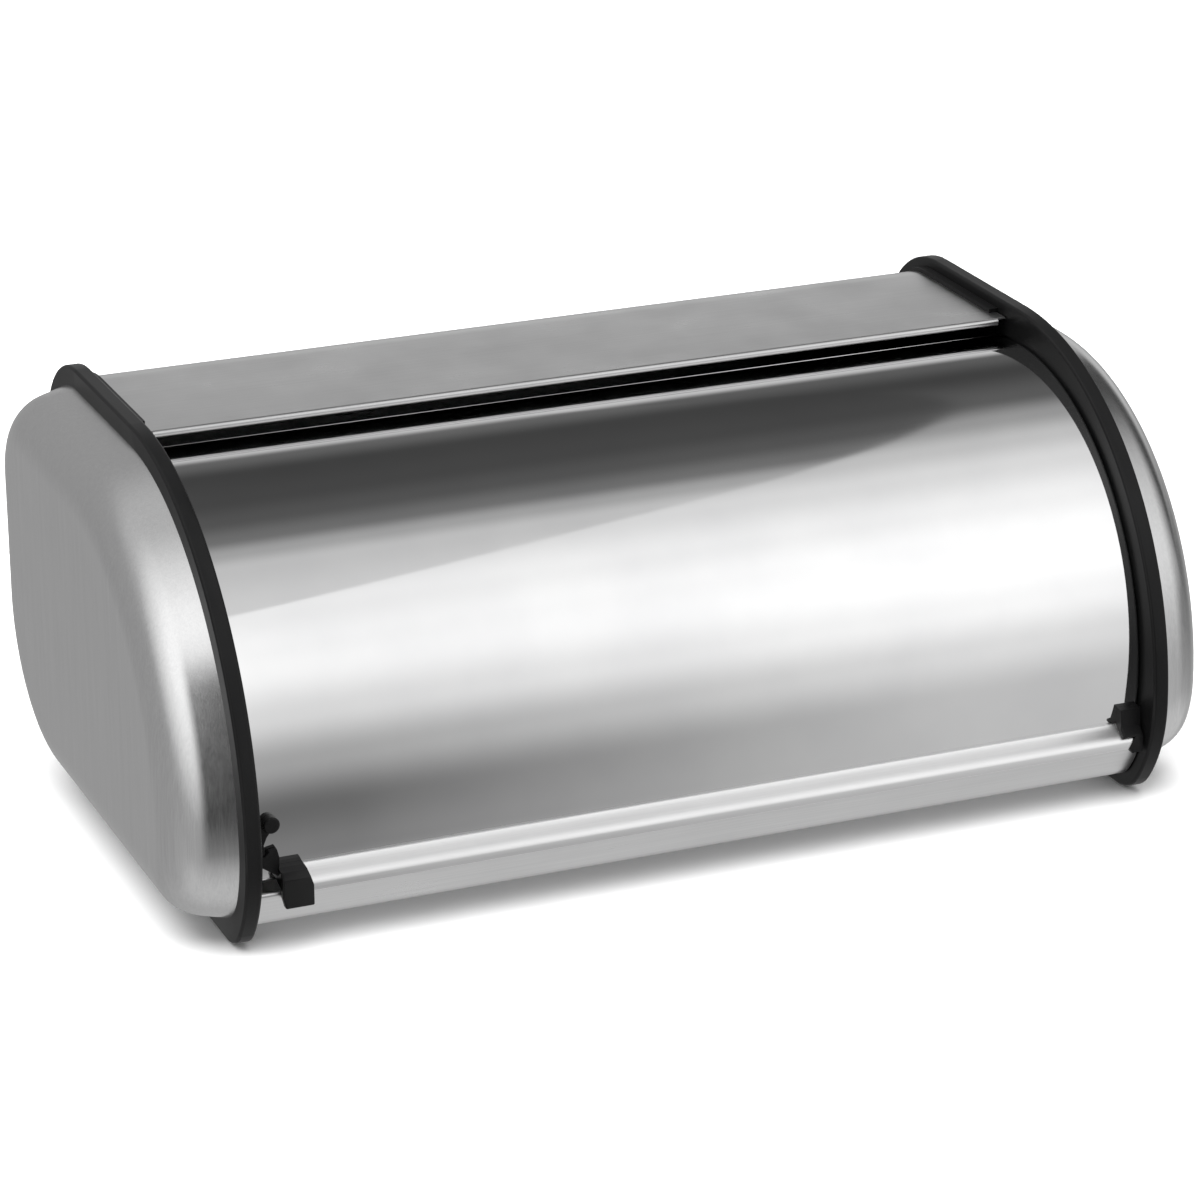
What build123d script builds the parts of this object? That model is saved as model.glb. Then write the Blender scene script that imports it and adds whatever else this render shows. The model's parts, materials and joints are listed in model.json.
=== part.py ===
"""Bread box with a roll top: a steel wrap between two moulded side frames, with a lid that rolls under the roof.

Frame of the model: +X to the right of someone facing the box, -Y towards that person, +Z up.
The origin is on the table, under the middle of the box.  All sizes are in millimetres.
Side profiles are drawn on planes of constant X, so a sketch's first axis is Y and its second is Z.
"""
import os
from math import asin, cos, degrees, radians, sin, sqrt

from build123d import *

# Overall size
FRAME_SPAN = 388.0          # over the outer faces of the two side frames
DEPTH = 251.0
HEIGHT = 174.0
CAP_DEPTH = 25.4            # how far each domed end stands outside its frame

# Side profile of the frames: arcs joined tangentially
FRONT_R = 130.0             # big front arc, level with the roof at its top
LOWER_R = 59.0              # tighter arc under it, down to the front corner
CORNER_R = 20.0             # front bottom corner
BACK_LOW_R = 75.5
BACK_TOP_R = 47.6

# Side frames
RIM_WIDTH = 6.7
RIM_HEIGHT = 14.0
RIM_EDGE_R = 1.2
WEB = 2.5
LEDGE_REACH = 10.7          # from the frame's outer face to the inner edge of its ledges
LEDGE_INSET = 4.2
LEDGE_FLOOR = 8.8
LEDGE_ROOF_Y = 18.0         # the roof's ledges start a little behind the roof's front edge
LEDGE_FRONT_Z = 19.0        # top of the inner ledge along the front upstand
LEDGE_OUTER_Y = -60.0       # the outer ledge stops here, so the upstand is seen up to the rim

# Sheet metal
SHEET = 0.8
WRAP_INSET = 5.8            # outer skin of the wrap, measured in from the frame's profile
SLOT_PLAY = 0.05
SHEET_END_GAP = 0.5
HEM_R = 1.1
ROOF_HEM_R = 1.5            # the roof's front hem is the thicker one
HEM_HOLLOW_R = 0.3
HEM_LEG = 7.0
HEM_END = 11.0              # the roof's hem stops this far short of the frame's outer face
ROOF_EDGE_Y = 8.5           # front edge of the roof
UPSTAND_Z = 24.8            # top of the front upstand
LAP_Y = 12.0                # the tray's floor steps up over the wrap's floor here
LAP_STEP = 2.0
LAP_LENGTH = 18.0
LAP_SIDE_GAP = 0.4
SEAM_RIVETS = 6
SEAM_RIVET_PITCH = 64.0

# End caps
CAP_INSET = 8.0
CAP_CORNER_R = 34.0
CAP_WALL = 0.8
CAP_EDGE_R = 22.6
POST_R = 4.5
SCREW_R = 1.7
SCREW_HEAD_R = 3.6
SCREW_HEAD = 2.0
SCREW_LENGTH = 12.0
DRIVE_R = 1.5
POST_SPOTS = ((-88.0, 66.0), (-52.0, 122.0), (70.0, 128.0), (84.0, 60.0))

# Lid: a sheet rolled about its own pivot axis
LID_Y, LID_Z = -5.3, 52.4
LID_R = 108.4
LID_SHEET = 0.7
LID_HALF = 186.8
LID_BOTTOM = -12.9          # angles about the pivot: 0 is straight forward, 90 straight up
LID_TOP = 102.0
LID_FLANGE = 12.0
OPEN_ANGLE = 86.0

# Lid arms, pivots and stops
ARM_R = 106.0
ARM_RIM = 9.0
ARM_THICK = 2.4
ARM_FROM, ARM_TO = -10.0, 95.0
SPOKES = (0.0, 45.0, 90.0)
SPOKE_WIDTH = 12.0
HUB_R = 11.0
HUB_THICK = 4.2
PIN_R = 4.0
PIN_PLAY = 0.06
PIN_HEAD_R = 7.0
PIN_HEAD = 1.6
PIN_END = 181.2
PIN_GROOVE_R = 3.0
CLIP_R = 7.0
CLIP_THICK = 0.8
CLIP_OUTER = 183.2
BOSS_R = 9.0
BOSS_LENGTH = 3.3
RIVET_RING_R = 99.5
RIVET_ANGLES = (-6.0, 26.0, 62.0, 90.0)
RIVET_R = 1.2
RIVET_HEAD_R = 2.2
RIVET_HEAD = 0.8
BUFFER_R = 4.5
BUFFER_LENGTH = 6.4
PEG_R = 2.6
PEG_LENGTH = 9.0
STOP_RING_R = 60.0
STOP_GAP = 0.35

# Lip rail and its end blocks
LIP_FROM, LIP_TO = -168.6, 183.0
LIP_SHEET = 0.9
LIP_TOP_ANGLE = -10.0
LIP_NOSE_Y = -118.9
LIP_NOSE_Z = 27.2
LIP_UNDER_Z = 24.3
LIP_RIVET_ANGLE = -11.7
LIP_RIVETS = 5
LIP_RIVET_PITCH = 72.0
BLOCK_NOSE_Y = -119.3
BLOCK_BACK_Y = -116.7       # the blocks hang in front of the upstand
BLOCK_CHIN_Z = 30.4         # the blocks are at their foremost from here down
BLOCK_BROW_Z = 33.2
BLOCK_LOW_Z = 28.4
BLOCK_HEEL_Z = 26.6
BLOCK_EDGE_R = 0.7
BLOCK_LEFT_FROM, BLOCK_LEFT_TO = -178.0, -165.5
BLOCK_LEFT_TOP, BLOCK_LEFT_BOTTOM = 34.6, 18.7
BLOCK_LEFT_THICK = 2.4      # at the top of the block, out from the lid
BLOCK_LEFT_BROW_Y = -117.9
BLOCK_RIGHT_FROM, BLOCK_RIGHT_TO = 177.6, 186.5
BLOCK_RIGHT_TOP, BLOCK_RIGHT_BOTTOM = 40.9, 29.4
BLOCK_RIGHT_THICK = 2.8
BLOCK_RIGHT_BROW_Y = -116.6
LUG_FROM = 180.4
LUG_TOP, LUG_BOTTOM = 30.2, 22.8
LUG_GAP = 0.3
KNOB_X, KNOB_Z = -180.8, 52.8
KNOB_R = 3.3
KNOB_HEIGHT = 3.6
NECK_SPOT = (-181.0, 36.0)
NECK_THICK = 2.2
STEM_SPOT = (-182.6, 47.0)
STEM_THICK = 1.6
LINK_SPOT = (-184.4, 41.6)  # narrow link between the neck and the stem
LINK_WIDTH, LINK_HEIGHT = 2.4, 4.4

HALF = FRAME_SPAN / 2
FRONT = -DEPTH / 2
BACK = DEPTH / 2
WEB_X = HALF - WEB
RIM_X = HALF - RIM_WIDTH
LEDGE_X = HALF - LEDGE_REACH
SHEET_HALF = RIM_X - SHEET_END_GAP

FRONT_CENTRE = (FRONT + FRONT_R, HEIGHT - FRONT_R)
LOWER_CENTRE = (FRONT + LOWER_R, HEIGHT - FRONT_R)
BACK_LOW_CENTRE = (BACK - BACK_LOW_R, BACK_LOW_R)
BACK_TOP_CENTRE = (BACK - BACK_TOP_R, HEIGHT - BACK_TOP_R)


def side_plane(x):
    """Drawing plane at a distance x along the box, with Y across and Z up."""
    return Plane.YZ.offset(x)


def profile(inset, corner_r=CORNER_R):
    """Face of the side profile, moved in by inset all round."""
    drop = LOWER_CENTRE[1] - corner_r
    corner = (LOWER_CENTRE[0] - sqrt((LOWER_R - corner_r) ** 2 - drop ** 2), corner_r)
    turn = degrees(asin(drop / (LOWER_R - corner_r)))
    with BuildSketch() as shape:
        with BuildLine():
            CenterArc(FRONT_CENTRE, FRONT_R - inset, 90, 90)
            CenterArc(LOWER_CENTRE, LOWER_R - inset, 180, turn)
            CenterArc(corner, corner_r - inset, 180 + turn, 90 - turn)
            Line((corner[0], inset), (BACK_LOW_CENTRE[0], inset))
            CenterArc(BACK_LOW_CENTRE, BACK_LOW_R - inset, 270, 90)
            Line((BACK - inset, BACK_LOW_R), (BACK - inset, BACK_TOP_CENTRE[1]))
            CenterArc(BACK_TOP_CENTRE, BACK_TOP_R - inset, 0, 90)
            Line((BACK_TOP_CENTRE[0], HEIGHT - inset), (FRONT_CENTRE[0], HEIGHT - inset))
        make_face()
    return shape.sketch


def band(inset, thickness):
    """Closed band of the side profile between two insets."""
    with BuildSketch() as shape:
        add(profile(inset))
        add(profile(inset + thickness), mode=Mode.SUBTRACT)
    return shape.sketch


def clear(y_from, y_to, z_from, z_to):
    """Cut a rectangle, given by its limits, out of the sketch being drawn."""
    with Locations(((y_from + y_to) / 2, (z_from + z_to) / 2)):
        Rectangle(y_to - y_from, z_to - z_from, mode=Mode.SUBTRACT)


def lid_point(radius, angle):
    """Point about the lid's axis; angle 0 is straight forward and 90 straight up."""
    return (LID_Y - radius * cos(radians(angle)), LID_Z + radius * sin(radians(angle)))


def lid_angle(z, radius):
    """Angle about the lid's axis at which a circle of that radius is at height z, at the front."""
    return degrees(asin((z - LID_Z) / radius))


def lid_band(inner_r, outer_r, angle_from, angle_to):
    """Part of a ring about the lid's axis."""
    start = 180 - angle_to
    size = angle_to - angle_from
    with BuildSketch() as shape:
        with BuildLine():
            CenterArc((LID_Y, LID_Z), outer_r, start, size)
            CenterArc((LID_Y, LID_Z), inner_r, start, size)
            Line(lid_point(inner_r, angle_to), lid_point(outer_r, angle_to))
            Line(lid_point(inner_r, angle_from), lid_point(outer_r, angle_from))
        make_face()
    return shape.sketch


def arc_band(centre, inner_r, outer_r, start, size):
    """Part of a ring about any centre, from a start angle counted from +Y."""
    turns = (radians(start), radians(start + size))
    ends = [[(centre[0] + r * cos(t), centre[1] + r * sin(t)) for r in (inner_r, outer_r)] for t in turns]
    with BuildSketch() as shape:
        with BuildLine():
            CenterArc(centre, outer_r, start, size)
            CenterArc(centre, inner_r, start, size)
            Line(ends[0][0], ends[0][1])
            Line(ends[1][0], ends[1][1])
        make_face()
    return shape.sketch


def bead(centre, radius=HEM_R):
    """Rolled edge of a sheet, seen end on."""
    with BuildSketch() as shape:
        with Locations(centre):
            Circle(radius)
            Circle(HEM_HOLLOW_R, mode=Mode.SUBTRACT)
    return shape.sketch


def spread(count, pitch):
    """Evenly pitched places along the box, centred."""
    return [(i - (count - 1) / 2) * pitch for i in range(count)]


def save(part, name):
    part.label = name
    export_step(part, f"parts/{name}.step")


def save_pair(part, name):
    """The left piece, and its mirror image on the right."""
    save(part, f"left_{name}")
    save(mirror(part, about=Plane.YZ), f"right_{name}")


os.makedirs("parts", exist_ok=True)

# Rubber stops: one just under the front spoke when closed, one just under the top spoke when open
stop_drop = SPOKE_WIDTH / 2 + STOP_GAP + BUFFER_R
open_lean = radians(SPOKES[-1] + OPEN_ANGLE - 180)
stop_spots = (
    (LID_Y - STOP_RING_R, LID_Z - stop_drop),
    (
        LID_Y + STOP_RING_R * cos(open_lean) - stop_drop * sin(open_lean),
        LID_Z - STOP_RING_R * sin(open_lean) - stop_drop * cos(open_lean),
    ),
)

# ---------------------------------------------------------------- side frames
with BuildPart() as side_frame:
    # rim all round
    with BuildSketch(side_plane(-HALF)):
        add(band(0, RIM_HEIGHT))
    extrude(amount=RIM_WIDTH)
    rim_outline = [face.outer_wire().edges() for face in side_frame.faces().filter_by(Axis.X)]
    fillet([edge for loop in rim_outline for edge in loop], RIM_EDGE_R)
    # web that closes the end
    with BuildSketch(side_plane(-HALF)):
        add(profile(RIM_HEIGHT - 1))
    extrude(amount=WEB)
    # ledges over and under the wrap's edge, with a slot between them
    with BuildSketch(side_plane(-RIM_X)):
        add(band(LEDGE_INSET, LEDGE_FLOOR - LEDGE_INSET))
        clear(FRONT, LEDGE_ROOF_Y, LEDGE_FRONT_Z, HEIGHT)
    extrude(amount=RIM_X - LEDGE_X)
    with BuildSketch(side_plane(-LEDGE_X)):
        add(band(WRAP_INSET - SLOT_PLAY, SHEET + 2 * SLOT_PLAY))
        clear(FRONT, ROOF_EDGE_Y - 1, UPSTAND_Z, HEIGHT)
    extrude(amount=LEDGE_X - RIM_X + 0.2, mode=Mode.SUBTRACT)
    with BuildSketch(side_plane(-LEDGE_X)):
        add(band(LEDGE_INSET - 1, WRAP_INSET + SHEET + SLOT_PLAY - LEDGE_INSET + 1))
        clear(LEDGE_OUTER_Y, BACK, 0, HEIGHT)
    extrude(amount=LEDGE_X - RIM_X, mode=Mode.SUBTRACT)
    # pivot boss and the pegs of the two stops
    with BuildSketch(side_plane(-WEB_X)):
        with Locations((LID_Y, LID_Z)):
            Circle(BOSS_R)
    extrude(amount=BOSS_LENGTH)
    with BuildSketch(side_plane(-WEB_X)):
        with Locations(*stop_spots):
            Circle(PEG_R)
    extrude(amount=PEG_LENGTH)
    with BuildSketch(side_plane(-HALF)):
        with Locations((LID_Y, LID_Z)):
            Circle(PIN_R)
        with Locations(*POST_SPOTS):
            Circle(SCREW_R)
    extrude(amount=WEB + BOSS_LENGTH, mode=Mode.SUBTRACT)
save_pair(side_frame.part, "side_frame")

# ---------------------------------------------------------------- end caps
with BuildPart() as cap_hollow:
    with BuildSketch(side_plane(-HALF)):
        add(profile(CAP_INSET + CAP_WALL, CAP_CORNER_R))
    extrude(amount=-(CAP_DEPTH - CAP_WALL))
    fillet(cap_hollow.faces().sort_by(Axis.X)[0].edges(), CAP_EDGE_R - CAP_WALL)
    with BuildSketch(side_plane(-HALF)):
        with Locations(*POST_SPOTS):
            Circle(POST_R)
    extrude(amount=-CAP_DEPTH, mode=Mode.SUBTRACT)

with BuildPart() as end_cap:
    with BuildSketch(side_plane(-HALF)):
        add(profile(CAP_INSET, CAP_CORNER_R))
    extrude(amount=-CAP_DEPTH)
    fillet(end_cap.faces().sort_by(Axis.X)[0].edges(), CAP_EDGE_R)
    add(cap_hollow.part, mode=Mode.SUBTRACT)
    with BuildSketch(side_plane(-HALF)):
        with Locations(*POST_SPOTS):
            Circle(SCREW_R)
    extrude(amount=-(SCREW_LENGTH + 2), mode=Mode.SUBTRACT)
save_pair(end_cap.part, "end_cap")

with BuildPart() as cap_screws:
    with BuildSketch(side_plane(-WEB_X)):
        with Locations(*POST_SPOTS):
            Circle(SCREW_HEAD_R)
    extrude(amount=SCREW_HEAD)
    fillet(cap_screws.faces().filter_by(Axis.X).group_by(Axis.X)[-1].edges(), SCREW_HEAD * 0.6)
    with BuildSketch(side_plane(-WEB_X)):
        with Locations(*POST_SPOTS):
            Circle(SCREW_R)
    extrude(amount=-SCREW_LENGTH)
    with BuildSketch(side_plane(-WEB_X + SCREW_HEAD)):
        with Locations(*POST_SPOTS):
            RegularPolygon(DRIVE_R, 6)
    extrude(amount=-SCREW_HEAD * 0.6, mode=Mode.SUBTRACT)
save_pair(cap_screws.part, "cap_screws")

# ---------------------------------------------------------------- pivots and stops
with BuildPart() as pivot_pin:
    with BuildSketch(side_plane(-HALF - PIN_HEAD)):
        with Locations((LID_Y, LID_Z)):
            Circle(PIN_HEAD_R)
    extrude(amount=PIN_HEAD)
    chamfer(pivot_pin.faces().sort_by(Axis.X)[0].edges(), 0.5)
    with BuildSketch(side_plane(-HALF)):
        with Locations((LID_Y, LID_Z)):
            Circle(PIN_R)
    extrude(amount=HALF - PIN_END)
    chamfer(pivot_pin.faces().sort_by(Axis.X)[-1].edges(), 0.5)
    with BuildSketch(side_plane(-CLIP_OUTER)):
        with Locations((LID_Y, LID_Z)):
            Circle(PIN_R + 1)
            Circle(PIN_GROOVE_R, mode=Mode.SUBTRACT)
    extrude(amount=CLIP_THICK, mode=Mode.SUBTRACT)
save_pair(pivot_pin.part, "pivot_pin")

with BuildPart() as pin_clip:
    with BuildSketch(side_plane(-CLIP_OUTER)):
        with Locations((LID_Y, LID_Z)):
            Circle(CLIP_R)
            Circle(PIN_GROOVE_R, mode=Mode.SUBTRACT)
            Rectangle(2 * CLIP_R, 1.6 * PIN_GROOVE_R, align=(Align.MIN, Align.CENTER), mode=Mode.SUBTRACT)
    extrude(amount=CLIP_THICK)
save_pair(pin_clip.part, "pin_clip")

with BuildPart() as stop_buffers:
    with BuildSketch(side_plane(-WEB_X + PEG_LENGTH)):
        with Locations(*stop_spots):
            Circle(BUFFER_R)
    extrude(amount=-BUFFER_LENGTH)
    fillet(stop_buffers.edges(), 0.8)
    with BuildSketch(side_plane(-WEB_X + PEG_LENGTH)):
        with Locations(*stop_spots):
            Circle(PEG_R)
    extrude(amount=-BUFFER_LENGTH, mode=Mode.SUBTRACT)
save_pair(stop_buffers.part, "stop_buffers")

# ---------------------------------------------------------------- body sheets
hem_y = ROOF_EDGE_Y + ROOF_HEM_R
hem_z = HEIGHT - WRAP_INSET - ROOF_HEM_R
hem_half = HALF - HEM_END
rivet_y = LAP_Y + LAP_LENGTH / 2
tray_skin_z = WRAP_INSET + SHEET

with BuildPart() as top_back_sheet:
    with BuildSketch(side_plane(-SHEET_HALF)):
        add(band(WRAP_INSET, SHEET))
        clear(FRONT, hem_y, HEIGHT / 2, HEIGHT)
        clear(FRONT, LAP_Y + 0.3, 0, HEIGHT / 2)
    extrude(amount=2 * SHEET_HALF)
    # plain front edge at both ends of the roof
    with BuildSketch(Plane.XY.offset(HEIGHT - WRAP_INSET - SHEET)):
        for side in (-1, 1):
            with Locations((side * (SHEET_HALF + hem_half) / 2, hem_y)):
                Rectangle(SHEET_HALF - hem_half, 2 * ROOF_HEM_R)
    extrude(amount=SHEET)
    # hem folded under the roof's front edge
    with BuildSketch(side_plane(-hem_half)):
        add(bead((hem_y, hem_z), ROOF_HEM_R))
        with Locations((hem_y, hem_z - ROOF_HEM_R)):
            Rectangle(HEM_LEG, SHEET, align=Align.MIN)
    extrude(amount=2 * hem_half)
    with BuildSketch(Plane.XY):
        with Locations(*[(x, rivet_y) for x in spread(SEAM_RIVETS, SEAM_RIVET_PITCH)]):
            Circle(RIVET_R)
    extrude(amount=HEIGHT / 2, mode=Mode.SUBTRACT)
save(top_back_sheet.part, "top_back_sheet")

bead_r = LOWER_R - WRAP_INSET - HEM_R
bead_angle = degrees(asin((LOWER_CENTRE[1] - UPSTAND_Z + HEM_R) / bead_r))
bead_spot = (
    LOWER_CENTRE[0] - bead_r * cos(radians(bead_angle)),
    LOWER_CENTRE[1] - bead_r * sin(radians(bead_angle)),
)
with BuildPart() as base_tray:
    with BuildSketch(side_plane(-SHEET_HALF)):
        add(band(WRAP_INSET, SHEET))
        clear(FRONT, BACK, HEIGHT / 4, HEIGHT)
        clear(LAP_Y - LAP_STEP, BACK, 0, HEIGHT)
        clear(FRONT, BACK, bead_spot[1], HEIGHT)
        add(bead(bead_spot))
        add(arc_band(LOWER_CENTRE, bead_r - HEM_R, bead_r - HEM_R + SHEET, 180 + bead_angle, 5))
    extrude(amount=2 * SHEET_HALF)
    # step up over the wrap's floor
    with BuildSketch(side_plane(-LEDGE_X + LAP_SIDE_GAP)):
        with BuildLine():
            Polyline(
                (LAP_Y - LAP_STEP, WRAP_INSET),
                (LAP_Y, tray_skin_z),
                (LAP_Y + LAP_LENGTH, tray_skin_z),
                (LAP_Y + LAP_LENGTH, tray_skin_z + SHEET),
                (LAP_Y, tray_skin_z + SHEET),
                (LAP_Y - LAP_STEP, tray_skin_z),
                close=True,
            )
        make_face()
    extrude(amount=2 * (LEDGE_X - LAP_SIDE_GAP))
    with BuildSketch(Plane.XY):
        with Locations(*[(x, rivet_y) for x in spread(SEAM_RIVETS, SEAM_RIVET_PITCH)]):
            Circle(RIVET_R)
    extrude(amount=HEIGHT / 2, mode=Mode.SUBTRACT)
save(base_tray.part, "base_tray")

with BuildPart() as seam_rivets:
    with BuildSketch(Plane.XY.offset(WRAP_INSET - RIVET_HEAD)):
        with Locations(*[(x, rivet_y) for x in spread(SEAM_RIVETS, SEAM_RIVET_PITCH)]):
            Circle(RIVET_HEAD_R)
    extrude(amount=RIVET_HEAD)
    with BuildSketch(Plane.XY.offset(WRAP_INSET)):
        with Locations(*[(x, rivet_y) for x in spread(SEAM_RIVETS, SEAM_RIVET_PITCH)]):
            Circle(RIVET_R)
    extrude(amount=2 * SHEET)
    with BuildSketch(Plane.XY.offset(WRAP_INSET + 2 * SHEET)):
        with Locations(*[(x, rivet_y) for x in spread(SEAM_RIVETS, SEAM_RIVET_PITCH)]):
            Circle(RIVET_HEAD_R)
    extrude(amount=RIVET_HEAD, taper=25)
save(seam_rivets.part, "seam_rivets")

# ---------------------------------------------------------------- lid sheet
lid_inner_r = LID_R - LID_SHEET
lip_rivet_places = spread(LIP_RIVETS, LIP_RIVET_PITCH)
block_screw_spots = (
    ((BLOCK_LEFT_FROM + LIP_FROM) / 2, -11.2),
    ((BLOCK_RIGHT_FROM + LIP_TO) / 2, -8.6),
)


def lid_plane(x, radius, angle):
    """Plane facing away from the lid's axis, at that radius and angle."""
    turn = radians(angle)
    return Plane(origin=(x, *lid_point(radius, angle)), x_dir=(1, 0, 0), z_dir=(0, -cos(turn), sin(turn)))


with BuildPart() as lid_sheet:
    with BuildSketch(side_plane(-LID_HALF)):
        add(lid_band(lid_inner_r, LID_R, LID_BOTTOM, LID_TOP))
        add(bead(lid_point(LID_R - HEM_R, LID_TOP)))
        add(lid_band(LID_R - 2 * HEM_R, LID_R - 2 * HEM_R + LID_SHEET, LID_TOP - 3.5, LID_TOP))
    extrude(amount=2 * LID_HALF)
    for start in (-LID_HALF, LID_HALF - LID_SHEET):
        with BuildSketch(side_plane(start)):
            add(lid_band(LID_R - LID_FLANGE, LID_R - LID_SHEET / 2, LID_BOTTOM + 1, LID_TOP - 4))
        extrude(amount=LID_SHEET)
    with BuildSketch(side_plane(-LID_HALF)):
        with Locations(*[lid_point(RIVET_RING_R, angle) for angle in RIVET_ANGLES]):
            Circle(RIVET_R)
    extrude(amount=2 * LID_HALF, mode=Mode.SUBTRACT)
    for x in lip_rivet_places:
        with BuildSketch(lid_plane(x, LID_R - 2, LIP_RIVET_ANGLE)):
            Circle(RIVET_R)
        extrude(amount=3, mode=Mode.SUBTRACT)
    for x, angle in block_screw_spots:
        with BuildSketch(lid_plane(x, LID_R - 2, angle)):
            Circle(RIVET_R)
        extrude(amount=3, mode=Mode.SUBTRACT)
save(lid_sheet.part, "lid_sheet")

# ---------------------------------------------------------------- lip rail
lip_top = lid_point(LID_R, LIP_TOP_ANGLE)
lip_fold = lid_point(LID_R + LIP_SHEET, LIP_TOP_ANGLE - 1.0)
with BuildPart() as lip_rail:
    # flange along the lid, hidden under the nose
    with BuildSketch(side_plane(LIP_FROM)):
        add(lid_band(LID_R, LID_R + LIP_SHEET, LID_BOTTOM, LIP_TOP_ANGLE - 0.6))
    extrude(amount=LIP_TO - LIP_FROM)
    # nose that flares forward and turns down over the upstand
    with BuildSketch(side_plane(LIP_FROM)):
        with BuildLine():
            Line(lip_fold, lip_top)
            Spline(lip_top, (LIP_NOSE_Y, LIP_NOSE_Z), tangents=[(-0.5, -0.75), (-0.25, -1)])
            Line((LIP_NOSE_Y, LIP_NOSE_Z), (LIP_NOSE_Y, LIP_UNDER_Z))
            Line((LIP_NOSE_Y, LIP_UNDER_Z), (LIP_NOSE_Y + LIP_SHEET, LIP_UNDER_Z))
            Line((LIP_NOSE_Y + LIP_SHEET, LIP_UNDER_Z), (LIP_NOSE_Y + LIP_SHEET, LIP_NOSE_Z - 0.2))
            Spline(
                (LIP_NOSE_Y + LIP_SHEET, LIP_NOSE_Z - 0.2), lip_fold,
                tangents=[(0.25, 1), (0.5, 0.75)],
            )
        make_face()
    extrude(amount=LIP_TO - LIP_FROM)
    for x in lip_rivet_places:
        with BuildSketch(lid_plane(x, LID_R - 1, LIP_RIVET_ANGLE)):
            Circle(RIVET_R)
        extrude(amount=1 + LIP_SHEET + 0.2, mode=Mode.SUBTRACT)
    # corner cut away for the right block's lug
    with BuildSketch(side_plane(LUG_FROM - LUG_GAP)):
        with Locations((LIP_NOSE_Y, LIP_NOSE_Z)):
            Rectangle(2.5 * LIP_SHEET, 2 * (LIP_NOSE_Z - LIP_UNDER_Z), align=Align.CENTER)
    extrude(amount=LIP_TO - LUG_FROM + 2 * LUG_GAP, mode=Mode.SUBTRACT)
save(lip_rail.part, "lip_rail")

with BuildPart() as lip_rivets:
    for x in lip_rivet_places:
        with BuildSketch(lid_plane(x, lid_inner_r - RIVET_HEAD, LIP_RIVET_ANGLE)):
            Circle(RIVET_HEAD_R)
        extrude(amount=RIVET_HEAD - 0.05)
        with BuildSketch(lid_plane(x, lid_inner_r - 0.4, LIP_RIVET_ANGLE)):
            Circle(RIVET_R - 0.05)
        extrude(amount=0.4 + LID_SHEET + LIP_SHEET + 0.1)
save(lip_rivets.part, "lip_rivets")

# ---------------------------------------------------------------- end blocks of the rail
def block_body(top_z, bottom_z, top_thick, brow_y):
    """Side view of a block: nose in front of the upstand, back resting on the lid."""
    top_angle = lid_angle(top_z, LID_R)
    low_angle = lid_angle(BLOCK_LOW_Z, LID_R)
    with BuildSketch() as shape:
        with BuildLine():
            CenterArc((LID_Y, LID_Z), LID_R, 180 - top_angle, top_angle - low_angle)
            Polyline(
                lid_point(LID_R, top_angle),
                lid_point(LID_R + top_thick, top_angle),
                (brow_y, BLOCK_BROW_Z),
                (BLOCK_NOSE_Y, BLOCK_CHIN_Z),
                (BLOCK_NOSE_Y, bottom_z),
                (BLOCK_BACK_Y, bottom_z),
                (BLOCK_BACK_Y, BLOCK_HEEL_Z),
                lid_point(LID_R, low_angle),
            )
        make_face()
    return shape.sketch


def outline(centre, *corners):
    """Outline of a plate on the lid: corners are (x, z) on the front, and centre is where the plate lies flat."""
    with BuildSketch() as shape:
        with BuildLine():
            Polyline(*[(x - centre[0], z - centre[1]) for x, z in corners], close=True)
        make_face()
    return shape.sketch


def front_edges(part):
    """Edges of a block's nose, clear of the lid."""
    return part.edges().filter_by(lambda edge: edge.center().Y < BLOCK_BACK_Y - 0.5)


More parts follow.
